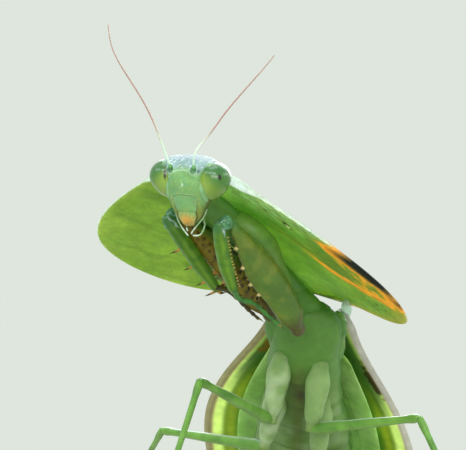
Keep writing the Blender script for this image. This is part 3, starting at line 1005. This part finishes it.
    # The tibia, its hooked claw, and the comb, which shows on the left leg alone.
    shin = np.array([knee + down * a + under_way * b + face * c for a, b, c in leg["shin"]])
    shin_path = curve_through([*shin, shin[-1] + down * 0.5 + under_way * 0.05], 100)
    shin_wide = leg["shin_wide"]
    loops, share, angle = limb(prothorax.point(shin_path), prothorax.way(under_way), [
        (0, 0.4, 0.38), (0.08, 0.52 * shin_wide, 0.44), (0.3, 0.56 * shin_wide, 0.42),
        (0.6, 0.56 * shin_wide, 0.4), (0.9, 0.42, 0.34), (1, 0.3, 0.26)], 40)
    relief = 0.06 * hill(np.cos(angle), 1, 0.02) + 0.035 * hill(np.sin(angle) * side, 0.55, 0.12)
    loops = raised(loops, relief + 0.008 * mottle(loops, 0.3, 47))
    lengthwise = np.cos(angle) + 0.03 * mottle(loops, 1.5, 36)
    streaks = np.sin(loops @ (2.2, 5.0, 6.5) + 1.2 * mottle(loops, 0.8, 49))
    paint = layered(coat(loops.shape[:2], "#567f1a", 0.36), [
        ("#6f9426", 0.7 * hill(lengthwise, 0.15, 0.28)),
        ("#3f6f22", 0.6 * hill(lengthwise, -0.35, 0.12) + 0.5 * hill(lengthwise, 0.55, 0.12)),
        ("#33651f", 0.45 * rise(mottle(loops, 1.2, 48), 0, 1)),
        ("#7a6a2a", 0.5 * rise(share, 0.9, 1.0)),
        ("#86a880", 0.35 * hill(lengthwise, 1, 0.04) * rise(share, 0.0, 0.15)),
        ("#2f6b48", 0.6 * rise(share, 0.16, 0.05)),
        ("#c4dadf", 0.75 * rise(share, 0.2, 0.1) * rise(streaks, 0.75, 0.97))])
    body_surfaces.append(closed(loops, paint))
    claw_root = shin[-1] + down * 0.25
    claw = curve_through([claw_root, claw_root + down * 0.6 + under_way * 0.06,
                          claw_root + down - under_way * 0.3], 16)
    loops, share, _ = limb(prothorax.point(claw), prothorax.way(face),
                           [(0, 0.2, 0.22), (0.5, 0.14, 0.15), (1, 0.02, 0.02)], 12)
    paint = tint(coat(loops.shape[:2], "#b98a3a", 0.3), "#17130d", rise(share, 0.35, 0.7))
    spine_surfaces.append(closed(loops, paint))
    for k in range(COMB_TEETH if side > 0 else 0):
        at = 0.22 + 0.7 * (k + draw.uniform(-0.2, 0.2)) / COMB_TEETH
        root = shin_path[int(at * (len(shin_path) - 1))] - under_way * 0.42 + face * 0.28
        tip = root - under_way * draw.uniform(0.2, 0.32) + face * 0.14 + down * 0.1
        fore_spine(root, tip, 0.075, "#a38a4c", 0.5)

    # The jointed tarsus and its two claws.
    foot = curve_through([shin[-1] + 0.2 * face, *(np.array(leg["tarsus"]) - leg["tuck"] * under_way)], 110)
    loops, share, _ = limb(prothorax.point(foot), prothorax.way(under_way), FORE_TARSUS, 14)
    foot_code, joint_code = ("#3f7a34", "#264f28") if side > 0 else ("#4c4420", "#2a2413")
    paint = tint(coat(loops.shape[:2], foot_code, 0.38), joint_code, 0.6 * hill(np.cos(share * 22), 1, 0.4))
    body_surfaces.append(closed(loops, paint))
    for way_out in (1, -1):
        tip = foot[-1] + unit(foot[-1] - foot[-10]) * 0.55 + face * 0.25 * way_out - under_way * 0.1
        fore_spine(foot[-1], tip, 0.07, "#8a7a3a")


# The four walking legs: slender green limbs with a waxy bloom on top. Each has a stout coxa, a straight
# femur, a tibia with fine bristles, and a flat tarsus of five joints that ends in two claws.
WALKING_LEGS = {  # coxa, hip and knee in the trunk's frame, ankle and toe as X and Y on the floor
    "mid_{}_right": dict(coxa=(-3.4, -1.8, -4.9), hip=(-9.3, -1.9, -9.1), knee=(0.2, -7.3, -12.25),
                         ankle=(-10.5, -12.0), toe=(-14.6, -18.4)),
    "mid_{}_left": dict(coxa=(-3.4, 1.8, -4.9), hip=(-9.3, 1.9, -9.1), knee=(-2.9, 11.7, -9.3),
                        ankle=(18.7, -3.7), toe=(25.4, -7.2)),
    "hind_{}_right": dict(coxa=(-8.6, -2.0, -5.4), hip=(-14.1, -2.6, -9.3), knee=(-20.5, -14.1, -6.6),
                          ankle=(-21.0, 28.5), toe=(-25.4, 34.8)),
    "hind_{}_left": dict(coxa=(-8.6, 2.0, -5.4), hip=(-14.1, 2.6, -9.3), knee=(-23.1, 11.15, -5.0),
                         ankle=(18.0, 30.5), toe=(22.8, 36.4))}
LEG_COXA = [(0, 0.1, 0.15), (0.1, 0.6, 0.75), (0.35, 0.95, 1.15), (0.7, 0.85, 0.9), (1, 0.5, 0.5)]
LEG_FEMUR = [(0, 0.42, 0.42), (0.1, 0.62, 0.5), (0.45, 0.48, 0.42), (0.88, 0.36, 0.34), (0.95, 0.44, 0.4),
             (1, 0.3, 0.3)]
LEG_TIBIA = [(0, 0.34, 0.34), (0.05, 0.36, 0.36), (0.12, 0.29, 0.29), (0.6, 0.25, 0.25), (0.93, 0.3, 0.3),
             (1, 0.24, 0.24)]
LEG_TARSUS = [(0, 0.22, 0.22), (0.05, 0.24, 0.26), (0.4, 0.25, 0.26), (0.44, 0.32, 0.28), (0.47, 0.2, 0.22),
              (0.6, 0.3, 0.27), (0.63, 0.19, 0.21), (0.73, 0.29, 0.26), (0.76, 0.18, 0.2),
              (0.85, 0.27, 0.25), (0.88, 0.17, 0.2), (1, 0.24, 0.24)]
ANKLE_HEIGHT, SOLE_HEIGHT, SOLE_LIFT, CLAW = 0.75, 0.22, 0.06, 0.5
TIBIA_SAG = 0.35
BRISTLES = 14


def leg_paint(loops, code, bloom, seed):
    """Green cuticle with a bluish-white bloom on the upper side and a paler under side."""
    up = faces_out(loops)[..., 2]
    return layered(coat(loops.shape[:2], code, 0.36), [
        ("#4a7c2a", 0.35 + 0.35 * mottle(loops, 1.6, seed)),
        ("#dde8ea", bloom * rise(up, 0.6, 1.0)),
        ("#93ae6e", 0.45 * rise(-up, 0.2, 0.9))])


for leg_name, leg in WALKING_LEGS.items():
    coxa, hip, knee = (trunk.point(leg[joint]) for joint in ("coxa", "hip", "knee"))
    ankle = np.array([*leg["ankle"], ANKLE_HEIGHT]) + CENTRE
    toe = np.array([*leg["toe"], SOLE_HEIGHT]) + CENTRE
    top_way = trunk.way((0, 0, 1))
    shin, foot = unit(ankle - knee), unit((toe - ankle) * (1, 1, 0))
    across = np.cross(shin, foot)

    loops, share, angle = limb(np.linspace(coxa, hip + 0.2 * unit(hip - coxa), 40), top_way, LEG_COXA, 24)
    loops = raised(loops, 0.08 * hill(np.cos(angle), -0.6, 0.1) - 0.08 * hill(share, 0.9, 0.03))
    pale = "#a9bd92" if leg_name.endswith("right") else "#86a368"
    body_surfaces.append(closed(loops, layered(coat(loops.shape[:2], "#7f9f60", 0.42), [
        (pale, 0.5 + 0.4 * mottle(loops, 1.5, 51)),
        ("#5a7f38", 0.8 * rise(share, 0.3, 0.0)),
        ("#6f8a3a", 0.6 * rise(share, 0.85, 0.95))])))

    loops, share, angle = limb(np.linspace(hip, knee, 64), top_way, LEG_FEMUR, 20)
    ridges = 0.04 * hill(np.cos(angle), 1, 0.03) + 0.04 * hill(np.cos(angle), -0.9, 0.04)
    loops = raised(loops, ridges - 0.05 * hill(share, 0.055, 0.012))
    body_surfaces.append(closed(loops, leg_paint(loops, "#6b9a3c", 0.6, 52)))

    sag = np.array([[0.0], [1.0], [0.0]]) * unit(np.cross(np.cross(shin, (0, 0, 1)), shin)) * TIBIA_SAG
    tibia_path = curve_through(np.array([knee, (knee + ankle) / 2, ankle - (0, 0, 0.3)]) - sag, 60)
    loops = limb(tibia_path, across, LEG_TIBIA, 18)[0]
    body_surfaces.append(closed(loops, leg_paint(loops, "#6a9a40", 0.3, 53)))
    for k in range(BRISTLES):
        root = tibia_path[int((0.2 + 0.75 * k / BRISTLES) * (len(tibia_path) - 1))]
        out_way = unit(across) * (1 if k % 2 else -1) - shin * 0.6
        spine_surfaces.append(spine_cone(root, root + out_way * 0.42, 0.05, "#8fae5a"))

    heel = ankle * (1, 1, 0) + (0, 0, SOLE_HEIGHT)
    sole = np.linspace(heel, toe - foot * CLAW, 100) + (0, 0, SOLE_LIFT)
    loops = limb(sole, np.cross((0, 0, 1.0), foot), LEG_TARSUS, 14)[0]
    loops[..., 2] = np.maximum(loops[..., 2], 0)
    body_surfaces.append(closed(loops, leg_paint(loops, "#73984a", 0.15, 54)))
    for way_out in (1, -1):
        side_way = unit(np.cross(foot, (0, 0, 1))) * way_out
        tip = (toe - foot * 0.05) * (1, 1, 0) + side_way * 0.3 + (0, 0, SOLE_LIFT)
        spine_surfaces.append(spine_cone(toe - foot * (CLAW + 0.05) + side_way * 0.08, tip, 0.09, "#7a6a34"))


# The skin: head, mouth, trunk and legs are one piece of waxy green cuticle, so that no gap shows where
# the solids part. The hard spines and claws that stand on it are a piece of their own.
skin = piece("skin", [head_surface, *mouth_surfaces, *body_surfaces], shell_cuticle)
LIMB_PARTS = ("coxa", "femur", "tibia", "tarsus")
FLESH = ["head", "mouthparts", "neck", "prothorax", "thorax", "abdomen"]
FLESH += [f"fore_{part}_{tag}" for tag in ("left", "right") for part in LIMB_PARTS]
FLESH += [leg_name.format(part) for leg_name in WALKING_LEGS for part in LIMB_PARTS]
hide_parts(*FLESH)
piece("spines_and_claws", spine_surfaces, shell_cuticle)


# The wings, folded flat over the back. The leathery fore wings, the tegmina, have a raised outer margin, a
# clear pale band inside it, a bright yellow vein and a net of cross veins. The filmy hind wings lie
# folded under them.
TEGMEN_LENGTH = 45.7
TEGMEN_HALF_WIDTHS = np.array([(0.0, 3.5), (0.12, 4.6), (0.28, 8.0), (0.45, 10.6), (0.65, 11.1), (0.85, 8.5),
                               (1.0, 0.6)])
WINGS = {"tegmen": (0.035, 1.0, 1.0, 0.0), "hindwing": (0.14, 0.93, 0.68, 0.83)}    # start, end, width, drop
WING_SIDES = {  # side, a dark patch's share of the length, way in from the edge and half length, its
    # colour, and the colour of the rim
    "left": (1, 0.235, 1.0, 0.05, "#3f2a16", "#b4b0ae"),
    "right": (-1, 0.18, 2.0, 0.055, "#7c6a2c", "#9c957c")}
WING_DROOP = math.radians(12.8)
WING_PLATE = 0.5
RIM_WIDE = 0.75                 # the thick pale front margin of a tegmen
EDGE_SHARE = 0.015              # the share of the width where the plate rounds off
wing_membrane = cuticle("wing membrane", 0.25, 0.02, glow=0.5)

for kind, (start, end, part, drop) in WINGS.items():
    tegmen = kind == "tegmen"
    for tag, (side, patch_at, patch_in, patch_long, patch_code, rim_code) in WING_SIDES.items():
        if tegmen:
            at = start + (end - start) * np.sin(np.linspace(0, math.pi / 2, 280))**1.3
        else:
            at = np.linspace(start, end, 220)
        root = np.interp(at, [0.03, 0.11], [2.5, 0.27])
        outer = np.maximum(smooth(TEGMEN_HALF_WIDTHS[:, 0], TEGMEN_HALF_WIDTHS[:, 1], at)[:, 0] * part, 0.77)
        shoulder_round = np.sqrt(np.clip(1 - (1 - np.clip((at - start) / 0.05, 0, 1))**2, 0, 1))
        outer = root + 0.2 + (outer - root - 0.2) * (0.3 + 0.7 * shoulder_round)
        at, root, outer = at[:, None], root[:, None], outer[:, None]
        inwards = np.r_[EDGE_SHARE - EDGE_SHARE * np.cos(np.linspace(0, math.pi / 2, 5)[:-1]),
                        EDGE_SHARE + 0.97 * np.sin(np.linspace(0, 1, 66) * 1.2) / math.sin(1.2),
                        1 - EDGE_SHARE + EDGE_SHARE * np.sin(np.linspace(0, math.pi / 2, 6)[1:])]
        out_by = root + (outer - root) * inwards
        back = np.broadcast_to(at * TEGMEN_LENGTH, out_by.shape)
        from_edge = outer - out_by
        flat = np.stack([-back, side * out_by, -math.tan(WING_DROOP) * out_by - drop - WING_PLATE / 2], -1)
        normal = np.array([0, side * math.sin(WING_DROOP), math.cos(WING_DROOP)])

        long_veins = hill(from_edge, 2.4 - 0.6 * at, 0.08) + 0.8 * hill(from_edge, 3.5 - at, 0.07)
        fan = (out_by - 0.3) / np.maximum(outer - 2.5, 1)
        branches = hill(np.sin(fan * 15 + 2.2 * at * (1 - fan)), 1, 0.12) * rise(from_edge, 2.6, 3.6)
        cross = hill(np.sin(back * 5.2 + 1.3 * np.sin(out_by * 2.0) + 0.8 * mottle(flat, 3.0, 61)), 1, 0.07)
        cross *= rise(from_edge, RIM_WIDE, RIM_WIDE + 0.3)
        margin = hill(from_edge, 0.5 * RIM_WIDE, 0.42 * RIM_WIDE) * (1.0 if tegmen else 0.15)
        thickness = 0.12 + 0.4 * margin + 0.08 * long_veins + 0.05 * branches + 0.025 * cross
        thickness *= np.sqrt(np.clip(np.minimum(inwards, 1 - inwards) / EDGE_SHARE, 0.02, 1))

        paint = layered(coat(out_by.shape, "#587f34" if tegmen else "#bcdc8c", 0.42), [
            ("#6d9143" if tegmen else "#cfe8a8", 0.5 + 0.5 * mottle(flat, 5.0, 62 + side)),
            ("#8a9a4a", 0.35 * np.clip(long_veins + branches + 0.5 * cross, 0, 1))])
        if tegmen:
            beyond_root = rise(at, 0.16, 0.34)
            patch = np.hypot((at - patch_at) / patch_long, (from_edge - patch_in) / 0.75)
            paint = layered(paint, [
                ("#cfdc9c", 0.9 * rise(from_edge, 2.2, 1.6) * (0.4 + 0.6 * beyond_root)),
                ("#a3ad3c", 0.75 * hill(from_edge, 2.6, 0.6) * (0.15 + 0.85 * beyond_root)),
                ("#39602a", 0.85 * rise(at, 0.42, 0.22) * rise(from_edge, 0.9, 1.5)),
                (patch_code, 0.9 * rise(patch + 0.2 * mottle(flat, 1.2, 66), 1.1, 0.6)),
                (rim_code, 0.95 * rise(from_edge, RIM_WIDE + 0.12, RIM_WIDE - 0.1)),
                ("#b79d8c", 0.35 * hill(from_edge, RIM_WIDE, 0.15))])
        upper, lower = (flat + normal * way * thickness[..., None] / 2 for way in (1, -1))
        loops = np.concatenate([upper, lower[:, ::-1]], axis=1)
        paint = np.concatenate([paint, paint[:, ::-1]], axis=1)
        surfaces = [closed(trunk.point(loops), paint)]
        if tegmen:
            hinge = dot * (1.5, 0.5, 0.42) + (-1.5, side * 3.05, -0.5)
            surfaces.append(closed(trunk.point(hinge), coat(dot.shape[:2], "#bccac0", 0.35)))
        wing = piece(f"wing_{kind}_{tag}", surfaces, wing_membrane)
        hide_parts(f"{kind}_{tag}")
